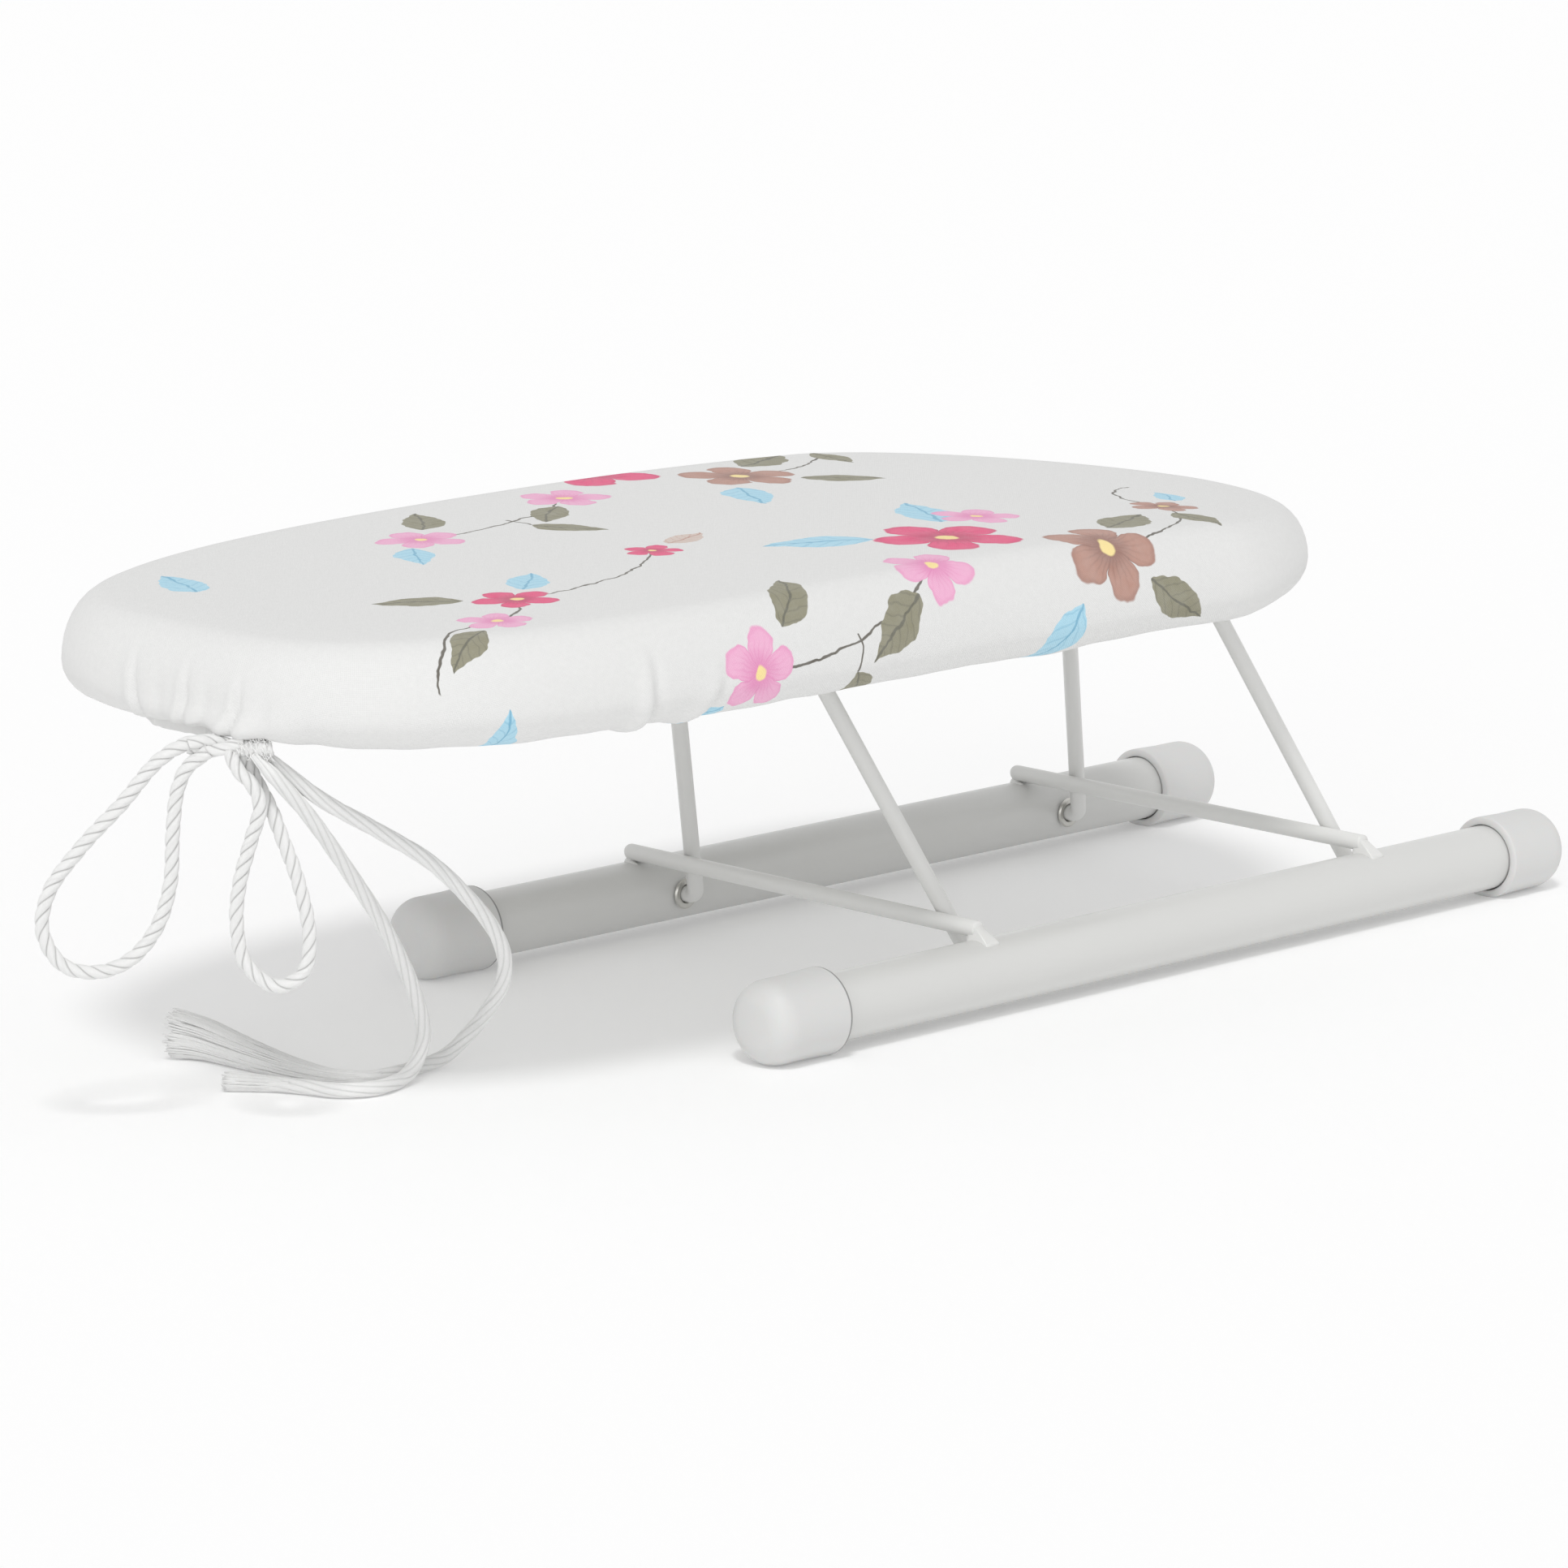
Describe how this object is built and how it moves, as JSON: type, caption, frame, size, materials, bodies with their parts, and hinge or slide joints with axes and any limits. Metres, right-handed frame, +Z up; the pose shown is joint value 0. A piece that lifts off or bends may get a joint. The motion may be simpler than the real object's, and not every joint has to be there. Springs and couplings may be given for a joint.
{
  "type": "tabletop ironing board",
  "caption": "Small tabletop ironing board with a padded fabric cover on folding wire legs, standing on capped foot tubes.",
  "frame": {"origin": "on the table, under the middle of the box round the object without its hanging cord", "axes": "+X along the board from nose to rear, +Z up"},
  "size_m": [0.59, 0.2146, 0.1532],
  "materials": {
    "white_steel": "satin white paint",
    "cap_plastic": "matte white",
    "plated_steel": "zinc plated",
    "deck_steel": "satin paint",
    "foam": "soft foam",
    "cover_cotton": "printed cotton, fine weave",
    "cord_cotton": "twisted cotton"
  },
  "bodies": {
    "base": {"near_foot_tube": "white_steel", "far_foot_tube": "white_steel", "near_front_cap": "cap_plastic", "near_rear_cap": "cap_plastic", "far_front_cap": "cap_plastic", "far_rear_cap": "cap_plastic", "near_front_eyelet": "plated_steel", "near_rear_eyelet": "plated_steel", "far_front_eyelet": "plated_steel", "far_rear_eyelet": "plated_steel", "front_stop_bar": "white_steel", "rear_stop_bar": "white_steel"},
    "front_leg": {"front_leg_wire": "white_steel"},
    "rear_leg": {"rear_leg_wire": "white_steel"},
    "deck": {"deck_tray": "deck_steel", "front_near_saddle": "plated_steel", "front_far_saddle": "plated_steel", "rear_near_saddle": "plated_steel", "rear_far_saddle": "plated_steel", "front_near_rivet_a": "plated_steel", "front_near_rivet_b": "plated_steel", "front_far_rivet_a": "plated_steel", "front_far_rivet_b": "plated_steel", "rear_near_rivet_a": "plated_steel", "rear_near_rivet_b": "plated_steel", "rear_far_rivet_a": "plated_steel", "rear_far_rivet_b": "plated_steel", "foam_pad": "foam", "cover": "cover_cotton", "hem_cord": "cord_cotton", "bow_knot": "cord_cotton", "bow_loop_left": "cord_cotton", "bow_loop_right": "cord_cotton", "near_tail": "cord_cotton", "far_tail": "cord_cotton"}
  },
  "joints": [
    {"name": "leg_fold", "type": "hinge", "parent": "base", "child": "front_leg", "pos_m": [0.00828, 0, 0.0136], "axis": [0, 1, 0], "range_deg": [0, 100], "deforming": ["bow_loop_left", "bow_loop_right", "near_tail", "far_tail"]},
    {"name": "rear_leg_fold", "type": "hinge", "parent": "base", "child": "rear_leg", "pos_m": [0.19468, 0, 0.0136], "axis": [0, 1, 0], "range_deg": [0, 100]},
    {"name": "deck_level", "type": "hinge", "parent": "front_leg", "child": "deck", "pos_m": [-0.04047, 0, 0.12735], "axis": [0, 1, 0], "range_deg": [-100, 0]}
  ],
  "couplings": [
    {"joint": "rear_leg_fold", "follows": "leg_fold", "ratio": 1},
    {"joint": "deck_level", "follows": "leg_fold", "ratio": -1}
  ]
}
